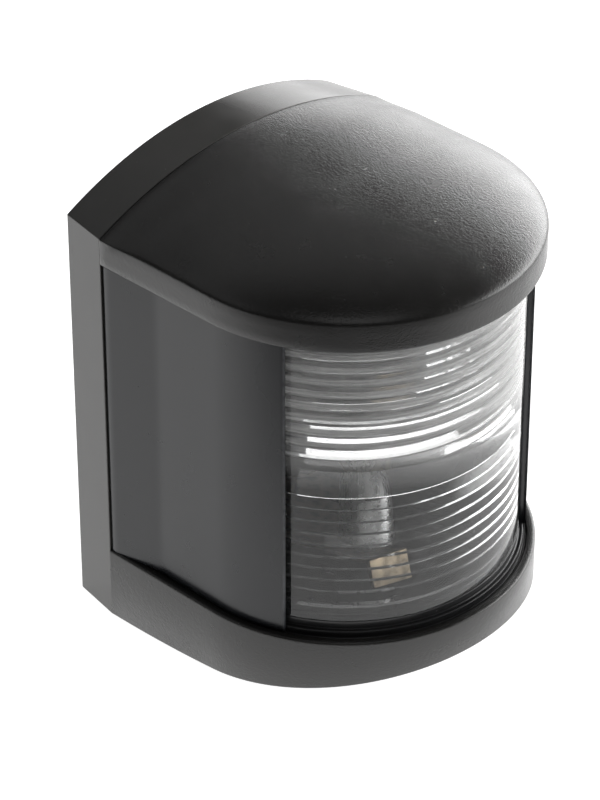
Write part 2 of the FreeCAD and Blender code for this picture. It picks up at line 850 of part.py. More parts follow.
def build_fresnel_lens():
    """Turned clear shell, smooth outside and cut into prism rings inside.

    The plain middle band bulges inwards.  Each ring beyond it is thickest on the side
    nearer the band, and the rings slope more the further they are from it.
    """
    body = new_body("fresnel_lens")
    body.setExpression("Placement.Base.y", (-D.nose_centre_depth).text)
    outer = D.lens_radius
    inner = outer - D.lens_thickness
    centre = D.lens_centre_height
    half = D.bullseye_half_height
    below = [half + k * D.ring_pitch for k in range(RINGS_BELOW)]
    above = [half + k * D.ring_pitch for k in range(RINGS_ABOVE)]
    corners = [(-outer, D.lens_bottom), (-inner, D.lens_bottom)]
    corners.append((-inner, centre - below[-1] - D.ring_pitch))
    for near in reversed(below):
        corners.append((-(inner + ring_depth(near)), centre - near - D.ring_pitch))
        corners.append((-inner, centre - near))
    tilt = Size.of(round(ring_tilt(half.number), 2))
    edge_depth = half * D.ring_relief * tilt.sin() / tilt.cos() / 2
    middle_band = len(corners)
    corners.append((-(inner + edge_depth), centre - half))
    corners.append((-(inner + edge_depth), centre + half))
    for near in above:
        corners.append((-inner, centre + near))
        corners.append((-(inner + ring_depth(near)), centre + near + D.ring_pitch))
    corners.append((-inner, centre + above[-1] + D.ring_pitch))
    corners += [(-inner, D.lens_top), (-outer, D.lens_top)]

    bulge_radius = (half * half + edge_depth * edge_depth) / (2 * edge_depth)
    section = new_sketch(body, "lens_section", "YZ_Plane")
    add_outline(section, corners, {middle_band: bulge_radius})
    shell = body.newObject("PartDesign::Revolution", "lens_shell")
    shell.Profile = section
    shell.ReferenceAxis = (section, ["V_Axis"])
    shell.Midplane = True
    shell.setExpression("Angle", (2 * D.lens_half_angle).text)
    doc.recompute()


def build_lens_seals():
    """Stepped black seat below the lens and the rubber strip above it."""
    inner = D.seat_inner_radius
    floor = D.tray_floor_top + D.part_gap
    wide = D.lens_half_angle + D.seat_extra_angle
    ledge = ring_sector(
        "seat_ledge", inner, D.seat_ledge_radius, floor, D.seat_ledge_top, wide
    )
    step = ring_sector(
        "seat_step",
        inner,
        D.seat_step_radius,
        D.seat_ledge_top,
        D.seat_step_top,
        D.left_shield_end_angle - D.shield_end_gap,
        D.right_shield_end_angle - D.shield_end_gap,
    )
    collar = ring_sector(
        "seat_collar",
        inner,
        D.shield_radius - D.shield_thickness - D.part_gap,
        D.seat_ledge_top,
        D.seat_top,
        wide,
    )
    lip = ring_sector(
        "seat_lip", inner, D.seat_lip_radius, D.seat_top, D.seat_lip_top, wide
    )
    keep(fuse("lens_seat_ring", ledge, step, collar, lip), "lens_seat_ring")

    strip = ring_sector(
        "lens_upper_seal",
        D.lens_radius - D.lens_thickness,
        D.lens_radius,
        D.lens_top,
        D.lens_top + D.upper_seal_height,
        D.lens_half_angle,
    )
    keep(strip, "lens_upper_seal")


# ---------------------------------------------------------------- lamp and its holder


def build_lamp_carrier():
    """Insulating bar on two posts of the base, carrying both spring contacts."""
    body = new_body("lamp_carrier")
    wide = D.carrier_half_width
    centre = D.lens_centre_height
    tall = D.carrier_half_height
    bar = new_sketch(body, "carrier_outline", "XZ_Plane", D.carrier_back + D.part_gap)
    add_outline(
        bar,
        [
            (-wide, centre - tall),
            (wide, centre - tall),
            (wide, centre + tall),
            (-wide, centre + tall),
        ],
    )
    pad(body, bar, D.carrier_thickness - D.part_gap, "carrier_bar")
    holes = new_sketch(body, "carrier_holes", "XZ_Plane", CARRIER_FRONT)
    for side in (-1, 1):
        add_circle(
            holes,
            0,
            centre + side * D.carrier_screw_offset,
            D.carrier_screw_radius + D.running_clearance,
        )
        foot = centre + side * LAMP_HALF
        add_circle(
            holes,
            0,
            foot - side * D.terminal_rise,
            D.terminal_radius + D.running_clearance,
        )
        for x in (-D.rivet_offset, D.rivet_offset):
            add_circle(holes, x, foot - side * D.rivet_rise, D.rivet_radius)
    pocket(body, holes, 0, "carrier_hole_set", through=True)


def build_carrier_screws():
    """Two equal screws through the carrier into the posts of the base."""
    screws = []
    for side in (-1, 1):
        name = "carrier_screw_low" if side < 0 else "carrier_screw_high"
        screw = slotted_screw(
            name,
            D.carrier_screw_head_radius,
            D.terminal_head_height,
            D.carrier_screw_radius,
            D.carrier_thickness + D.carrier_screw_grip,
        )
        front = CARRIER_FRONT + D.terminal_head_height
        height = D.lens_centre_height + side * D.carrier_screw_offset
        place(screw, 0, -front, height, axis=(1, 0, 0), angle=-90)
        screws.append(screw)
    keep(compound("carrier_screws", *screws), "carrier_screws")


def build_contacts():
    """Brass springs: a foot on the carrier and an arm out to each end of the lamp."""
    thick = D.contact_thickness
    arm_end = D.lamp_depth + D.contact_overhang
    for side, label in ((1, "upper_contact"), (-1, "lower_contact")):
        body = new_body(label)
        near = D.lens_centre_height + side * LAMP_HALF
        far = near + side * thick
        foot_end = near - side * D.contact_foot
        lip_end = far + side * D.contact_lip
        lip_front = arm_end + D.contact_lip * CONTACT_LIP_LEAN
        profile = new_sketch(body, label + "_profile", "YZ_Plane")
        corners = [
            (-CARRIER_FRONT, foot_end),
            (-CONTACT_FRONT, foot_end),
            (-CONTACT_FRONT, near),
            (-arm_end, near),
            (-lip_front, lip_end),
            (-(lip_front - thick), lip_end),
            (-(arm_end - thick), far),
            (-CARRIER_FRONT, far),
        ]
        add_outline(profile, corners)
        pad(body, profile, 2 * D.contact_half_width, label + "_strip", midplane=True)
        low, high = (near, far) if side > 0 else (far, near)
        seat = new_sketch(body, label + "_seat", "XY_Plane", low - OVERRUN)
        add_circle(seat, 0, -D.lamp_depth, D.contact_hole_radius)
        seat_cut = high - low + 2 * OVERRUN
        pocket(body, seat, seat_cut, label + "_seat_hole", upwards=True)
        holes = new_sketch(body, label + "_holes", "XZ_Plane", CONTACT_FRONT)
        add_circle(
            holes,
            0,
            near - side * D.terminal_rise,
            D.terminal_radius + D.running_clearance,
        )
        for x in (-D.rivet_offset, D.rivet_offset):
            add_circle(holes, x, near - side * D.rivet_rise, D.rivet_radius)
        pocket(body, holes, thick, label + "_foot_holes")


def build_contact_rivets():
    """Four equal rivets holding the feet of the contacts to the carrier."""
    rivets = []
    for side in (-1, 1):
        height = D.lens_centre_height + side * (LAMP_HALF - D.rivet_rise)
        for x in (-D.rivet_offset, D.rivet_offset):
            name = "rivet_%d" % (len(rivets) + 1)
            shank = forward_cylinder(
                name + "_shank",
                D.rivet_radius,
                x,
                D.carrier_back + D.part_gap,
                height,
                D.carrier_thickness + D.contact_thickness - D.part_gap,
            )
            head = forward_cylinder(
                name + "_head",
                D.rivet_head_radius,
                x,
                CONTACT_FRONT,
                height,
                D.rivet_head_height,
            )
            rivets.append(fuse(name, shank, head))
    keep(compound("contact_rivets", *rivets), "contact_rivets")


def build_terminal_screws():
    for side, label in ((1, "terminal_screw_upper"), (-1, "terminal_screw_lower")):
        screw = slotted_screw(
            label,
            D.terminal_head_radius,
            D.terminal_head_height,
            D.terminal_radius,
            D.terminal_length,
        )
        keep(screw, label)
        front = CONTACT_FRONT + D.terminal_head_height + D.part_gap / 2
        height = D.lens_centre_height + side * (LAMP_HALF - D.terminal_rise)
        place(screw, 0, -front, height - ORIGIN_HEIGHT, axis=(1, 0, 0), angle=-90)


def build_lamp_glass():
    """Hollow tubular bulb with necks that enter the caps."""
    body = new_body("lamp_glass")
    body.setExpression("Placement.Base.y", (-D.lamp_depth).text)
    centre = D.lens_centre_height
    neck = D.bulb_neck_radius
    belly = D.bulb_radius
    half = D.bulb_length / 2
    neck_end = half + D.cap_skirt / 2
    shoulder = half - (belly - neck)
    wall = D.bulb_wall
    bend = (belly - neck) * 1.02
    section = new_sketch(body, "bulb_section", "XZ_Plane")
    add_outline(
        section,
        [
            (neck, centre - neck_end),
            (neck, centre - half),
            (belly, centre - shoulder),
            (belly, centre + shoulder),
            (neck, centre + half),
            (neck, centre + neck_end),
            (neck - wall, centre + neck_end),
            (neck - wall, centre + half - wall),
            (belly - wall, centre + shoulder),
            (belly - wall, centre - shoulder),
            (neck - wall, centre - half + wall),
            (neck - wall, centre - neck_end),
        ],
        {1: bend, 3: bend},
    )
    bulb = body.newObject("PartDesign::Revolution", "bulb")
    bulb.Profile = section
    bulb.ReferenceAxis = (section, ["V_Axis"])
    bulb.Angle = 360
    doc.recompute()


def build_lamp_caps():
    """Metal end caps: a cup over the glass neck, a cone and a small contact tip."""
    for side, label in ((1, "lamp_cap_upper"), (-1, "lamp_cap_lower")):
        body = new_body(label)
        body.setExpression("Placement.Base.y", (-D.lamp_depth).text)
        end = D.lens_centre_height + side * (LAMP_HALF - D.part_gap)
        rim = end - side * (D.cap_cone + D.cap_skirt)
        cone_base = end - side * D.cap_cone
        inside_end = cone_base - side * D.cap_wall
        inner = D.bulb_neck_radius + 0.02
        section = new_sketch(body, label + "_section", "XZ_Plane")
        add_outline(
            section,
            [
                (inner, rim),
                (D.cap_radius, rim),
                (D.cap_radius, cone_base),
                (D.cap_tip_radius, end),
                (D.cap_tip_radius, end + side * D.tip_length),
                (Size.of(0), end + side * D.tip_length),
                (Size.of(0), inside_end),
                (inner, inside_end),
            ],
        )
        cap = body.newObject("PartDesign::Revolution", label + "_turned")
        cap.Profile = section
        cap.ReferenceAxis = (section, ["V_Axis"])
        cap.Angle = 360
        doc.recompute()


def build_lamp_filament():
    """Coiled filament with a straight lead to each cap."""
    coil_bottom = D.lens_centre_height - D.coil_height / 2
    helix = primitive(
        "Helix",
        "filament_helix",
        Radius=D.coil_radius,
        Pitch=D.coil_pitch,
        Height=D.coil_height,
    )
    place(helix, 0, -D.lamp_depth, coil_bottom)
    wire_end = primitive("Circle", "filament_section", Radius=D.wire_radius)
    place(wire_end, D.coil_radius, -D.lamp_depth, coil_bottom, axis=(1, 0, 0), angle=90)
    coil = doc.addObject("Part::Sweep", "filament_coil")
    coil.Sections = [wire_end]
    coil.Spine = helix
    coil.Solid = True
    coil.Frenet = True
    lead = LAMP_HALF - D.cap_cone - D.cap_wall - D.part_gap - D.coil_height / 2
    leads = []
    for name, bottom in (
        ("filament_lead_low", coil_bottom - lead),
        ("filament_lead_high", coil_bottom + D.coil_height),
    ):
        rod = primitive("Cylinder", name, Radius=D.wire_radius, Height=lead)
        place(rod, D.coil_radius, -D.lamp_depth, bottom)
        leads.append(rod)
    keep(fuse("lamp_filament", coil, *leads), "lamp_filament")


build_base_housing()
build_cover_seal()
build_cable_grommet()
build_retaining_screw()
build_retaining_insert()
build_hood_cap()
build_lower_tray()
build_side_shields()
build_fresnel_lens()
build_lens_seals()
build_lamp_carrier()
build_carrier_screws()
build_contacts()
build_contact_rivets()
build_terminal_screws()
build_lamp_glass()
build_lamp_caps()
build_lamp_filament()
doc.recompute()

for obj in doc.Objects:
    if "Invalid" in obj.State or "Error" in obj.State:
        raise RuntimeError("%s did not compute: %s" % (obj.Label, obj.State))
for obj in sub_parts:
    if obj.Shape.isNull() or not obj.Shape.isValid():
        raise RuntimeError("%s has no valid shape" % obj.Label)
    obj.Shape.exportStep(os.path.join("parts", obj.Label + ".step"))
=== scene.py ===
"""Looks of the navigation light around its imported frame.

The hood, the tray and the two side shields are built here as meshes that replace their
CAD nodes.  Every other CAD node keeps its shape and gets a procedural material.  Sizes
are in millimetres: x across, y from the mounting face (the front is towards -y) and z up
from the base's lower edge.  `make_piece` turns them into metres in the frame.
"""

import json
import math

import bmesh
import bpy
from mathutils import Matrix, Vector


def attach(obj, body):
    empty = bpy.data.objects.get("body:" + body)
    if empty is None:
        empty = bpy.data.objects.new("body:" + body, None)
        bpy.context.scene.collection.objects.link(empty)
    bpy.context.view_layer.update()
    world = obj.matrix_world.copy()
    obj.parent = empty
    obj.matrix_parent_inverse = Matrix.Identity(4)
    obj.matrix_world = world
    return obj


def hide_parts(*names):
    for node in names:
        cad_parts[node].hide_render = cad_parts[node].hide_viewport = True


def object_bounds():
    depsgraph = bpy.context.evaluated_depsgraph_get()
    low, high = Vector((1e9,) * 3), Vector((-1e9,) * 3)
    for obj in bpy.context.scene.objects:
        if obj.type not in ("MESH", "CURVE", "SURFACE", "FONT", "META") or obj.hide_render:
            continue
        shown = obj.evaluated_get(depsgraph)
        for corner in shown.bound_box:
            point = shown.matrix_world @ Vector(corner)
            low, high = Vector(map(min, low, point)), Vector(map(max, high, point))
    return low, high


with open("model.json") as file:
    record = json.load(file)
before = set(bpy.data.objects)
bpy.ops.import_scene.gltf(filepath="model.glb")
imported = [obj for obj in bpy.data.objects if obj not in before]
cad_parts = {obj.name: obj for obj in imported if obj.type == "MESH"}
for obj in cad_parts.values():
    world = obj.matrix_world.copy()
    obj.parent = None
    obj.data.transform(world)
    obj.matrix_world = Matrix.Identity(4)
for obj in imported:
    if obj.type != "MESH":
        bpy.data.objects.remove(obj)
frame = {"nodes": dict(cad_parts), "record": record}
cad_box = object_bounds()
MM = 0.001


# ---------------------------------------------------------------- node helpers


class Nodes:
    """Small wrapper that makes shader nodes and links them in one call."""

    def __init__(self, tree):
        self.tree = tree
        tree.nodes.clear()

    def add(self, kind, inputs=None, **settings):
        node = self.tree.nodes.new(kind)
        for name, value in settings.items():
            setattr(node, name, value)
        for name, value in (inputs or {}).items():
            socket = node.inputs[name]
            if isinstance(value, bpy.types.NodeSocket):
                self.tree.links.new(value, socket)
            else:
                socket.default_value = value
        return node

    def link(self, source, target):
        self.tree.links.new(source, target)

    def coordinates(self):
        return self.add("ShaderNodeTexCoord").outputs["Object"]

    def noise(self, size_mm, detail, stretch=None):
        """Noise in 0..1 whose lumps are about size_mm across, or longer where stretched."""
        vector = self.coordinates()
        if stretch is not None:
            mapping = self.add("ShaderNodeMapping", {"Vector": vector})
            mapping.inputs["Scale"].default_value = stretch
            vector = mapping.outputs["Vector"]
        node = self.add(
            "ShaderNodeTexNoise",
            {"Vector": vector, "Scale": 1.0 / (size_mm * MM), "Detail": detail},
        )
        return node.outputs["Fac"]

    def dust(self, spacing_mm, size):
        """Sparse specks in patches, 1 at a speck and 0 elsewhere; size is a share of spacing."""
        cells = self.add(
            "ShaderNodeTexVoronoi",
            {"Vector": self.coordinates(), "Scale": 1.0 / (spacing_mm * MM)},
        )
        speck = self.remap(cells.outputs["Distance"], size * 0.5, size, 1.0, 0.0)
        patch = self.smooth(self.noise(DUST_PATCH_MM, 2.0), 0.42, 0.62)
        return self.math("MULTIPLY", speck, patch)

    def math(self, operation, a, b=None, clamp=False):
        node = self.add("ShaderNodeMath", operation=operation, use_clamp=clamp)
        for socket, value in zip(node.inputs, (a, b)):
            if value is None:
                continue
            if isinstance(value, bpy.types.NodeSocket):
                self.link(value, socket)
            else:
                socket.default_value = value
        return node.outputs[0]

    def smooth(self, value, low_in, high_in):
        """0 below low_in, 1 above high_in and a smooth step between."""
        node = self.add(
            "ShaderNodeMapRange",
            {"Value": value, "From Min": low_in, "From Max": high_in},
            interpolation_type="SMOOTHSTEP",
        )
        return node.outputs["Result"]

    def remap(self, value, low_in, high_in, low_out, high_out):
        node = self.add(
            "ShaderNodeMapRange",
            {
                "Value": value,
                "From Min": low_in,
                "From Max": high_in,
                "To Min": low_out,
                "To Max": high_out,
            },
        )
        return node.outputs["Result"]

    def mix_colour(self, factor, dark, light):
        node = self.add("ShaderNodeMix", data_type="RGBA")
        for socket, value in zip(
            (node.inputs[0], node.inputs[6], node.inputs[7]), (factor, dark, light)
        ):
            if isinstance(value, bpy.types.NodeSocket):
                self.link(value, socket)
            elif isinstance(value, float):
                socket.default_value = value
            else:
                socket.default_value = (*value, 1.0)
        return node.outputs[2]

    def bump(self, height, depth_mm, normal=None):
        inputs = {"Height": height, "Distance": depth_mm * MM, "Strength": 1.0}
        if normal is not None:
            inputs["Normal"] = normal
        return self.add("ShaderNodeBump", inputs).outputs["Normal"]

    def rounded(self, radius_mm):
        """Surface normal with the sharp edges softened."""
        bevel = self.add("ShaderNodeBevel", {"Radius": radius_mm * MM}, samples=4)
        return bevel.outputs["Normal"]

    def edge_mask(self, rounded):
        """0 on flats, rising to 1 on edges, where the softened normal leaves the true one."""
        normal = self.add("ShaderNodeNewGeometry").outputs["Normal"]
        dot = self.add("ShaderNodeVectorMath", operation="DOT_PRODUCT")
        self.link(rounded, dot.inputs[0])
        self.link(normal, dot.inputs[1])
        return self.remap(dot.outputs["Value"], 1.0, 0.8, 0.0, 1.0)


# ---------------------------------------------------------------- materials

DUST_COLOUR = (0.16, 0.155, 0.15)
DUST_SPACING_MM = 2.3
DUST_SIZE = 0.05
DUST_PATCH_MM = 14.0
DUST_SHARE = 0.5
MOTTLE_MM = 9.0


def new_material(name):
    material = bpy.data.materials.new(name)
    material.use_nodes = True
    return material, Nodes(material.node_tree)


def finish_surface(nodes, shader):
    nodes.add("ShaderNodeOutputMaterial", {"Surface": shader})


def moulded_plastic(
    name, dark, light, rough, grain_mm, grain_depth, wear_and_sheen=0.25, edge_mm=0.35, ior=1.5
):
    """Opaque moulded plastic: mottled tint, grain, fine dust and lighter edges, part wear and part
    painted highlight.
    """
    material, n = new_material(name)
    colour = n.mix_colour(n.noise(MOTTLE_MM, 3.0), dark, light)
    speck = n.math("MULTIPLY", n.dust(DUST_SPACING_MM, DUST_SIZE), DUST_SHARE)
    colour = n.mix_colour(speck, colour, DUST_COLOUR)
    rounded = n.rounded(edge_mm)
    # lighter edges: part rubbed wear, part painted highlight for the sheen that edges catch
    edge = n.math("MULTIPLY", n.edge_mask(rounded), wear_and_sheen)
    worn_and_sheen = n.math("MULTIPLY", edge, n.remap(n.noise(1.6, 3.0), 0.3, 0.7, 0.4, 1.0))
    rubbed_and_sheen_colour = tuple(6.0 * channel + 0.03 for channel in light)
    colour = n.mix_colour(worn_and_sheen, colour, rubbed_and_sheen_colour)
    roughness = n.remap(n.noise(6.0, 4.0), 0.3, 0.7, rough[0], rough[1])
    coarse = n.math("MULTIPLY", n.noise(grain_mm * 2.2, 1.0), 0.5)
    grain = n.math("ADD", n.noise(grain_mm, 2.0), coarse)
    normal = n.bump(grain, grain_depth, normal=rounded)
    shader = n.add(
        "ShaderNodeBsdfPrincipled",
        {"Base Color": colour, "Roughness": roughness, "IOR": ior, "Normal": normal},
    )
    finish_surface(n, shader.outputs[0])
    return material


def metal(name, dark, light, rough, tarnish_mm=3.5, tarnish_share=0.6):
    """Bare metal: mottled tint, patches of darker tarnish and a fine tooling grain."""
    material, n = new_material(name)
    colour = n.mix_colour(n.noise(1.8, 4.0), dark, light)
    tarnish = n.remap(n.noise(tarnish_mm, 5.0), 0.45, 0.65, 0.0, tarnish_share)
    colour = n.mix_colour(tarnish, colour, tuple(0.45 * channel for channel in dark))
    roughness = n.remap(n.noise(0.8, 3.0), 0.3, 0.7, rough[0], rough[1])
    normal = n.bump(n.noise(0.15, 2.0), 0.02)
    shader = n.add(
        "ShaderNodeBsdfPrincipled",
        {"Base Color": colour, "Metallic": 1.0, "Roughness": roughness, "Normal": normal},
    )
    finish_surface(n, shader.outputs[0])
    return material


def clear(name, tint, rough, ior, dust, painted_ring_highlight=0.0):
    """Clear moulded plastic or glass with faint ripple, a little dust and, where asked, level
    streaks of painted highlight.
    """
    material, n = new_material(name)
    roughness = n.remap(n.noise(7.0, 4.0), 0.35, 0.75, rough[0], rough[1])
    normal = n.bump(n.noise(6.0, 1.0), 0.01)
    glass = n.add(
        "ShaderNodeBsdfPrincipled",
        {
            "Base Color": (*tint, 1.0),
            "Roughness": roughness,
            "IOR": ior,
            "Transmission Weight": 1.0,
            "Normal": normal,
        },
    )
    dust_and_highlight_film = n.add("ShaderNodeBsdfDiffuse", {"Color": (0.85, 0.85, 0.84, 1.0)})
    amount = n.remap(n.noise(1.1, 5.0), 0.45, 0.8, 0.0, dust)
    if painted_ring_highlight:
        # painted highlight: a white film in level streaks on the rings above the middle, stronger
        # to the right, where the light comes from
        place = n.add("ShaderNodeSeparateXYZ", {"Vector": n.coordinates()}).outputs
        above = n.smooth(place["Z"], 1.0 * MM, 7.0 * MM)
        sideways = n.remap(place["X"], -20.0 * MM, 22.0 * MM, 0.8, 1.6)
        streak = n.noise(0.6, 3.0, stretch=(0.05, 0.05, 1.0))
        painted_highlight = n.remap(streak, 0.35, 0.65, 0.25 * painted_ring_highlight, painted_ring_highlight)
        painted_highlight = n.math("MULTIPLY", n.math("MULTIPLY", above, sideways), painted_highlight)
        amount = n.math("ADD", amount, painted_highlight, clamp=True)
    mixed = n.add("ShaderNodeMixShader", {0: amount})
    n.link(glass.outputs[0], mixed.inputs[1])
    n.link(dust_and_highlight_film.outputs[0], mixed.inputs[2])
    # light passes straight through, so what is behind the clear piece is lit
    path = n.add("ShaderNodeLightPath")
    straight = n.math("MAXIMUM", path.outputs["Is Shadow Ray"], path.outputs["Is Diffuse Ray"])
    window = n.add("ShaderNodeBsdfTransparent", {"Color": (0.9, 0.9, 0.9, 1.0)})
    whole = n.add("ShaderNodeMixShader", {0: straight})
    n.link(mixed.outputs[0], whole.inputs[1])
    n.link(window.outputs[0], whole.inputs[2])
    finish_surface(n, whole.outputs[0])
    return material


MATERIALS = {
    "smooth_black": moulded_plastic(
        "smooth_black",
        dark=(0.033, 0.032, 0.03),
        light=(0.041, 0.0395, 0.037),
        rough=(0.2, 0.27),
        grain_mm=0.6,
        grain_depth=0.003,
        ior=1.46,
    ),
    "grained_black": moulded_plastic(
        "grained_black",
        dark=(0.0125, 0.012, 0.0113),
        light=(0.0175, 0.0168, 0.0158),
        rough=(0.2, 0.28),
        grain_mm=0.26,
        grain_depth=0.055,
    ),
    "shield_black": moulded_plastic(
        "shield_black",
        dark=(0.0105, 0.0115, 0.0135),
        light=(0.014, 0.015, 0.0175),
        rough=(0.2, 0.28),
        grain_mm=0.7,
        grain_depth=0.002,
        # strong lighter edges: mostly a painted highlight on the shield's end lip
        wear_and_sheen=0.9,
        edge_mm=0.5,
        ior=1.44,
    ),
    "seat_black": moulded_plastic(
        "seat_black",
        dark=(0.014, 0.014, 0.0145),
        light=(0.02, 0.02, 0.021),
        rough=(0.12, 0.2),
        grain_mm=0.9,
        grain_depth=0.006,
    ),
    "seal_rubber": moulded_plastic(
        "seal_rubber",
        dark=(0.02, 0.02, 0.02),
        light=(0.032, 0.031, 0.03),
        rough=(0.6, 0.75),
        grain_mm=0.2,
        grain_depth=0.02,
    ),
    "carrier_plastic": moulded_plastic(
        "carrier_plastic",
        dark=(0.03, 0.03, 0.03),
        light=(0.042, 0.042, 0.041),
        rough=(0.4, 0.55),
        grain_mm=0.3,
        grain_depth=0.02,
    ),
    "contact_brass": metal(
        "contact_brass",
        dark=(0.13, 0.105, 0.072),
        light=(0.22, 0.18, 0.125),
        rough=(0.3, 0.45),
        tarnish_mm=1.4,
        tarnish_share=0.85,
    ),
    "cap_metal": metal(
        "cap_metal", dark=(0.42, 0.42, 0.42), light=(0.62, 0.62, 0.61), rough=(0.22, 0.36)
    ),
    "stainless": metal(
        "stainless", dark=(0.5, 0.5, 0.5), light=(0.72, 0.72, 0.71), rough=(0.16, 0.3)
    ),
    "filament_wire": metal(
        "filament_wire", dark=(0.2, 0.2, 0.21), light=(0.36, 0.36, 0.37), rough=(0.3, 0.5)
    ),
    # the lens's upper rings carry a painted highlight as white streaks
    "clear_lens": clear(
        "clear_lens", tint=(0.985, 0.99, 0.99), rough=(0.0, 0.03), ior=1.49, dust=0.05, painted_ring_highlight=0.24
    ),
    "bulb_glass": clear(
        "bulb_glass", tint=(0.93, 0.94, 0.94), rough=(0.0, 0.02), ior=1.5, dust=0.12
    ),
}


def dress_cad_nodes():
    """Gives every CAD node the material of its slot in the record."""
    for part in frame["record"]["subparts"]:
        node = frame["nodes"][part["node"]]
        node.data.materials.clear()
        node.data.materials.append(MATERIALS[part["material_slot"]])


# ---------------------------------------------------------------- shared sizes, millimetres

ORIGIN_HEIGHT = 42.5  # of the frame's origin above the base's lower edge
JOINT = 9.6  # depth of the plane where the cover meets the base
NOSE = 34.6  # depth of the centre of the round front
COVER = 33.4  # half width of the cover and radius of its front
CREASE = 77.6  # where the hood's band ends and its dome begins
BAND_BOTTOM = 72.7
PEAK = 85.0
TRAY_TOP = 14.1
TRAY_LIFT = 7.7  # how far the tray's underside rises from back to front
STRAIGHT_STEPS = 14
ARC_STEPS = 96
HALF_TURN = math.pi


def smooth_step(value):
    value = min(max(value, 0.0), 1.0)
    return value * value * (3 - 2 * value)


# ---------------------------------------------------------------- mesh helpers


def make_piece(name, vertices, faces, material, body, node):
    """Mesh from points in millimetres that rides on a body and stands for a CAD node."""
    mesh = bpy.data.meshes.new(name)
    metres = [(x * MM, y * MM, (z - ORIGIN_HEIGHT) * MM) for x, y, z in vertices]
    mesh.from_pydata(metres, [], faces)
    work = bmesh.new()
    work.from_mesh(mesh)
    bmesh.ops.remove_doubles(work, verts=work.verts, dist=2e-6)
    bmesh.ops.dissolve_degenerate(work, edges=work.edges, dist=1e-7)
    bmesh.ops.recalc_face_normals(work, faces=work.faces)
    work.to_mesh(mesh)
    work.free()
    for polygon in mesh.polygons:
        polygon.use_smooth = True
    mesh.set_sharp_from_angle(angle=math.radians(35))
    piece = bpy.data.objects.new(name, mesh)
    bpy.context.scene.collection.objects.link(piece)
    mesh.materials.append(MATERIALS[material])
    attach(piece, body)
    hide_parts(node)


def bridge(loops, closed=True, cap_first=False, cap_last=False):
    """Vertices and faces that join equal-length loops of points."""
    count = len(loops[0])
    vertices = [point for loop in loops for point in loop]
    faces = []
    span = count if closed else count - 1
    for row in range(len(loops) - 1):
        for i in range(span):
            j = (i + 1) % count
            a, b = row * count, (row + 1) * count
            faces.append((a + i, a + j, b + j, b + i))
    if cap_first:
        faces.append(tuple(reversed(range(count))))
    if cap_last:
        last = (len(loops) - 1) * count
        faces.append(tuple(range(last, last + count)))
    return vertices, faces


def joined(*parts):
    """Several (vertices, faces) lists as one."""
    vertices, faces = [], []
    for more_vertices, more_faces in parts:
        start = len(vertices)
        vertices += more_vertices
        faces += [tuple(i + start for i in face) for face in more_faces]
    return vertices, faces


def cover_plan(inset, back):
    """Plan points of the cover from the back left corner round the nose to the right."""
    radius = COVER - inset
    left = [
        (-radius, -back - (NOSE - back) * i / STRAIGHT_STEPS) for i in range(STRAIGHT_STEPS)
    ]
    arc = []
    for i in range(ARC_STEPS + 1):
        angle = HALF_TURN + HALF_TURN * i / ARC_STEPS
        arc.append((radius * math.cos(angle), -NOSE + radius * math.sin(angle)))
    return left + arc + [(-x, y) for x, y in reversed(left)]


# ---------------------------------------------------------------- hood

HOOD_WALL = 1.7
DOME_FALL = 0.9  # how much lower the dome's spine is above the nose than at the back
DOME_POWER = 2.4  # of the full section; 2 would be an ellipse
FULL_SHARE = 0.55
FULL_TRAVEL = 12.0
DOME_STEPS = 30
UPRIGHT_ROWS = 5
REAR_EDGE = ((0.22, 0.0), (0.07, 0.09), (0.0, 0.28))  # pull inwards and distance forwards


def dome_rise(fraction, half_width, travel):
    """Height above the crease: an arc at the joint that turns into a fuller section."""
    along = smooth_step(travel / (NOSE - JOINT))
    rise = PEAK - CREASE - DOME_FALL * along
    radius = (half_width**2 + rise**2) / (2 * rise)
    arch = math.sqrt(radius**2 - (fraction * half_width) ** 2) - (radius - rise)
    full = rise * math.sqrt(max(0.0, 1 - fraction**DOME_POWER))
    share = FULL_SHARE * smooth_step(travel / FULL_TRAVEL)
    return (1 - share) * arch + share * full


def hood_rows(inset, crease, bottom):
    """Rows of points from the band's lower edge over the shoulder to the spine."""
    plan = cover_plan(inset, JOINT + 0.04)
    half_width = COVER - inset
    edge = 0.25
    heights = [(edge, bottom), (0.07, bottom + 0.07), (0.0, bottom + edge)]
    heights += [(0.0, bottom + (crease - bottom) * k / 3) for k in (1, 2)]
    rows = []
    for pull, height in heights:
        rows.append([(x * (1 - pull / half_width), y, height) for x, y in plan])
    for i in range(DOME_STEPS + 1):
        fraction = 0.0
        if i < DOME_STEPS:
            fraction = math.cos(math.pi / 2 * i / DOME_STEPS) ** (2 / DOME_POWER)
        row = []
        for x, y in plan:
            spine = max(y, -NOSE)
            travel = -y - JOINT if y > -NOSE else NOSE - JOINT
            height = crease + dome_rise(fraction, half_width, travel)
            row.append((x * fraction, spine + (y - spine) * fraction, height))
        rows.append(row)
    return rows


def round_rear_edge(rows):
    """Swaps the point at both ends of every row for three that round the rear edge."""
    rounded = []
    for number, row in enumerate(rows):
        ends = []
        for x, y, z in (row[0], row[-1]):
            steps = []
            for pull, forward in REAR_EDGE:
                drop = 0.0 if number < UPRIGHT_ROWS else pull
                steps.append((x * (1 - pull / COVER), y - forward, z - drop))
            ends.append(steps)
        rounded.append(ends[0] + row[1:-1] + ends[1][::-1])
    return rounded


def build_hood():
    """Hollow dome with its upright band, open at the back and below."""
    outside = round_rear_edge(hood_rows(0.0, CREASE, BAND_BOTTOM))
    inside = round_rear_edge(hood_rows(HOOD_WALL, CREASE - HOOD_WALL, BAND_BOTTOM))
    skin = bridge(outside, closed=False)
    lining = bridge(inside, closed=False)
    lip = bridge([outside[0], inside[0]], closed=False)
    edges = []
    for end in (0, -1):
        rims = [[row[end] for row in rows] for rows in (outside, inside)]
        edges.append(bridge(rims, closed=False))
    make_piece(
        "hood", *joined(skin, lining, lip, *edges), "grained_black", "cover", "hood_cap"
    )


# ---------------------------------------------------------------- tray


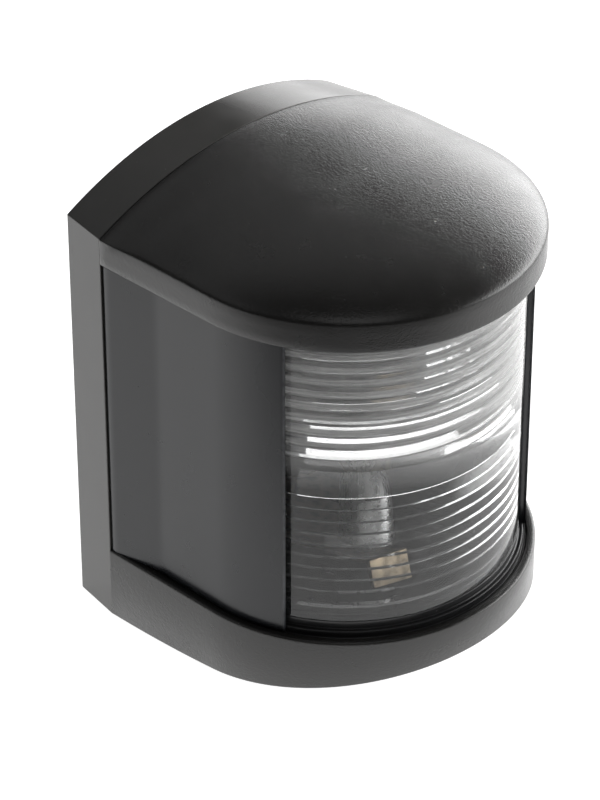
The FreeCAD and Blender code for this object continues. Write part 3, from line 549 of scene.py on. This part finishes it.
def build_tray():
    """Tray with rounded rims, an arched underside and the tongue at the back."""
    back = JOINT + 0.025
    reach = NOSE + COVER + 2 - back
    bend = (reach**2 + TRAY_LIFT**2) / (2 * TRAY_LIFT)

    def underside(y):
        travel = max(-y - back, 0.0)
        return bend - math.sqrt(bend**2 - travel**2)

    def loop(inset, height, follow):
        plan = cover_plan(inset, back + inset)
        across = [(x, plan[-1][1]) for x in (0.6 * plan[-1][0], 0.0, -0.6 * plan[-1][0])]
        return [(x, y, height + (underside(y) if follow else 0.0)) for x, y in plan + across]

    loops = [
        loop(2.0, 9.0, False),
        loop(2.0, 0.35, True),
        loop(1.75, 0.06, True),
        loop(1.4, 0.0, True),
        loop(0.5, 0.0, True),
        loop(0.15, 0.1, True),
        loop(0.0, 0.4, True),
        loop(0.0, TRAY_TOP - 0.5, False),
        loop(0.05, TRAY_TOP - 0.22, False),
        loop(0.2, TRAY_TOP - 0.06, False),
        loop(0.45, TRAY_TOP, False),
        loop(1.2, TRAY_TOP, False),
        loop(1.42, TRAY_TOP - 0.08, False),
        loop(1.5, TRAY_TOP - 0.3, False),
        loop(1.5, 11.2, False),
    ]
    shell = bridge(loops, cap_first=True, cap_last=True)
    make_piece("tray", *joined(shell, tongue()), "grained_black", "cover", "lower_tray")


def tongue():
    """Forked tab that the retaining screw clamps, running back under the base's lug."""
    wide, slot = 5.6, 1.75
    low, high = 3.05, 4.85
    front, back, end = 10.4, 3.1, 5.0
    outline = [(-wide, -front), (wide, -front), (wide, -back - 0.6), (wide - 0.6, -back)]
    outline += [(slot, -back), (slot, -end)]
    outline += [
        (slot * math.cos(HALF_TURN * i / 12), -end - slot * math.sin(HALF_TURN * i / 12))
        for i in range(1, 12)
    ]
    outline += [(-slot, -end), (-slot, -back), (-wide + 0.6, -back), (-wide, -back - 0.6)]
    loops = [[(x, y, height) for x, y in outline] for height in (low, high)]
    return bridge(loops, cap_first=True, cap_last=True)


# ---------------------------------------------------------------- side shields


SHIELD_OUTER = 31.7
SHIELD_INNER = 30.45
SHIELD_GAP = 0.06  # above the tray and below the hood
FLARE = 1.45
FLARE_START = 21.0
FLARE_END = 10.6
RIB_OUTER = 31.35
RIB_INNER = 30.46
RIB_END = 21.5
RIB_BOTTOM = 13.66
RIB_TOP = 73.95
CHEEK_STEPS = 32
SWEEP_STEPS = 26
# side, sign of x, angles off the front where the inner and the outer skin end
SHIELDS = (("right", 1, 45.6, 44.4), ("left", -1, 68.2, 65.2))


def ray(radius, degrees):
    """Plan point on a circle about the nose centre, at an angle off the front."""
    angle = math.radians(degrees)
    return (radius * math.sin(angle), -NOSE - radius * math.cos(angle))


def sweep(radius, first):
    """Plan points on such a circle from an angle off the front to the side."""
    return [
        ray(radius, first + (90.0 - first) * i / SWEEP_STEPS) for i in range(SWEEP_STEPS + 1)
    ]


def flare(y):
    """How far the shield stands out beyond its radius near the base."""
    return FLARE * min(max((y + FLARE_START) / (FLARE_START - FLARE_END), 0.0), 1.0)


def shield_plan(end, lip):
    """Plan of a right-hand shield: end lip, round cheek, flare, and back again."""
    depth = NOSE - JOINT - 0.5
    outside = [ray(SHIELD_INNER + 0.1, end - 0.1), ray(SHIELD_INNER + 0.25, end - 0.25)]
    outside += [ray(SHIELD_OUTER - 0.28, lip + 1.2), ray(SHIELD_OUTER - 0.1, lip + 0.6)]
    outside += sweep(SHIELD_OUTER, lip)
    inside = sweep(SHIELD_INNER, end)[::-1]
    straight = [-NOSE + depth * i / CHEEK_STEPS for i in range(1, CHEEK_STEPS + 1)]
    outside += [(SHIELD_OUTER + flare(y), y) for y in straight]
    outside[-1] = (outside[-1][0] - 0.15, outside[-1][1])
    return outside + [(SHIELD_INNER + flare(y), y) for y in straight[::-1]] + inside


def shield_rib(end):
    """Locating rib inside the cheek that enters the tray and the hood."""
    back = [(RIB_OUTER, -RIB_END), (RIB_INNER, -RIB_END)]
    return sweep(RIB_OUTER, end) + back + sweep(RIB_INNER, end)[::-1]


def build_shields():
    """Opaque cheeks on both sides of the lens; the right one reaches further round."""
    low, high = TRAY_TOP + SHIELD_GAP, BAND_BOTTOM - SHIELD_GAP
    for side, sign, end, lip in SHIELDS:
        plan = shield_plan(end, lip)
        rib = shield_rib(end + 0.3)
        loops = [[(sign * x, y, z) for x, y in plan] for z in (low, (low + high) / 2, high)]
        cheek = bridge(loops, cap_first=True, cap_last=True)
        ribs = [[(sign * x, y, z) for x, y in rib] for z in (RIB_BOTTOM, RIB_TOP)]
        rib_part = bridge(ribs, cap_first=True, cap_last=True)
        mesh = joined(cheek, rib_part)
        make_piece("shield_" + side, *mesh, "shield_black", "cover", "side_shield_" + side)


# ---------------------------------------------------------------- stage, light, camera

FLOOR_SIZE = 3.0
FLOOR_GAP = 0.0002
FLOOR_GLOW = 1.25
LIGHT_POWER = 7.4
BEHIND_POWER = 0.42
DIM_POWER = 0.06
CAMERA_PLACE = (-386.4, -394.2, 357.4)
CAMERA_TARGET = (-11.15, -34.3, 3.9)
FOCAL_LENGTH = 167.2


def camera_switch(n, for_camera, otherwise):
    """A strength that is one value to the camera itself and another to all other rays."""
    seen = n.add("ShaderNodeLightPath").outputs["Is Camera Ray"]
    strength = n.add("ShaderNodeMix", data_type="FLOAT")
    n.link(seen, strength.inputs[0])
    n.link(otherwise, strength.inputs[2])
    strength.inputs[3].default_value = for_camera
    return strength.outputs[0]


def build_floor():
    """Pale table that glows a little and looks plain white to the camera."""
    size = FLOOR_SIZE
    mesh = bpy.data.meshes.new("floor")
    corners = [(-size, -size, 0), (size, -size, 0), (size, size, 0), (-size, size, 0)]
    mesh.from_pydata(corners, [], [(0, 1, 2, 3)])
    floor = bpy.data.objects.new("floor", mesh)
    floor.location.z = cad_box[0].z - FLOOR_GAP
    bpy.context.scene.collection.objects.link(floor)
    material, n = new_material("pale_floor")
    paint = n.mix_colour(n.noise(60.0, 3.0), (0.56, 0.56, 0.56), (0.6, 0.6, 0.6))
    matte = n.add("ShaderNodeBsdfDiffuse", {"Color": paint})
    # the lit table ends in front: the glow fades towards the viewer
    place = n.add("ShaderNodeSeparateXYZ", {"Vector": n.coordinates()})
    forward = n.math(
        "ADD",
        n.math("MULTIPLY", place.outputs["X"], -0.72),
        n.math("MULTIPLY", place.outputs["Y"], -0.69),
    )
    fade = n.smooth(forward, 0.07, 0.17)
    strength = camera_switch(n, 1.0, n.remap(fade, 0.0, 1.0, FLOOR_GLOW, 0.0))
    glow = n.add("ShaderNodeEmission", {"Color": (1, 1, 1, 1), "Strength": strength})
    both = n.add("ShaderNodeAddShader")
    n.link(matte.outputs[0], both.inputs[0])
    n.link(glow.outputs[0], both.inputs[1])
    finish_surface(n, both.outputs[0])
    mesh.materials.append(material)


def build_world():
    """Broad low light behind on the right, dark above, white to the camera itself."""
    world = bpy.data.worlds.new("studio")
    bpy.context.scene.world = world
    world.use_nodes = True
    n = Nodes(world.node_tree)
    direction = n.add("ShaderNodeTexCoord").outputs["Generated"]
    axes = n.add("ShaderNodeSeparateXYZ", {"Vector": direction})
    height = axes.outputs["Z"]
    level_length = n.math("SQRT", n.math("SUBTRACT", 1.0001, n.math("MULTIPLY", height, height)))
    # 1 straight to the right, where the light is, and -1 to the left
    toward = n.math(
        "SUBTRACT",
        n.math("MULTIPLY", axes.outputs["X"], 0.985),
        n.math("MULTIPLY", axes.outputs["Y"], 0.17),
    )
    toward = n.math("DIVIDE", toward, level_length)
    top_edge = n.remap(toward, 0.55, 0.9, 0.34, 0.54)
    below_top = n.smooth(n.math("SUBTRACT", top_edge, height), -0.04, 0.07)
    power = n.smooth(toward, 0.42, 0.95)
    power = n.math("MULTIPLY", n.math("MULTIPLY", below_top, power), LIGHT_POWER)
    # a weak patch of light high up behind
    behind = n.math("MULTIPLY", n.smooth(axes.outputs["Y"], 0.1, 0.4), n.smooth(height, 0.5, 0.68))
    below = n.remap(n.smooth(height, 0.78, 0.92), 0.0, 1.0, BEHIND_POWER, 0.0)
    behind = n.math("MULTIPLY", behind, below)
    strength = n.math("ADD", n.math("ADD", power, behind), DIM_POWER)
    level = camera_switch(n, 1.0, strength)
    background = n.add("ShaderNodeBackground", {"Color": (1, 1, 1, 1), "Strength": level})
    n.add("ShaderNodeOutputWorld", {"Surface": background.outputs[0]})
    world.cycles.sampling_method = "MANUAL"
    world.cycles.sample_map_resolution = 512


def build_top_fill():
    """Weak soft box above the object, aimed at the origin."""
    data = bpy.data.lights.new("top_fill", "AREA")
    data.shape = "RECTANGLE"
    data.size = data.size_y = 0.6
    data.energy = 1.0
    lamp = bpy.data.objects.new("top_fill", data)
    lamp.location = (-0.3, -0.4, 1.2)
    lamp.rotation_euler = (-lamp.location).to_track_quat("-Z", "Y").to_euler()
    bpy.context.scene.collection.objects.link(lamp)


def build_camera():
    """Camera above the front left corner, as in the reference view."""
    data = bpy.data.cameras.new("camera")
    data.sensor_fit = "AUTO"
    data.sensor_width = 36.0
    data.lens = FOCAL_LENGTH
    data.clip_start = 0.01
    data.clip_end = 20.0
    camera = bpy.data.objects.new("camera", data)
    camera.location = Vector(CAMERA_PLACE) * MM
    aim = Vector(CAMERA_TARGET) * MM - camera.location
    camera.rotation_euler = aim.to_track_quat("-Z", "Y").to_euler()
    bpy.context.scene.collection.objects.link(camera)
    bpy.context.scene.camera = camera


# ---------------------------------------------------------------- the scene

dress_cad_nodes()
build_hood()
build_tray()
build_shields()
build_floor()
build_world()
build_top_fill()
build_camera()
bpy.context.scene.view_settings.view_transform = "Standard"
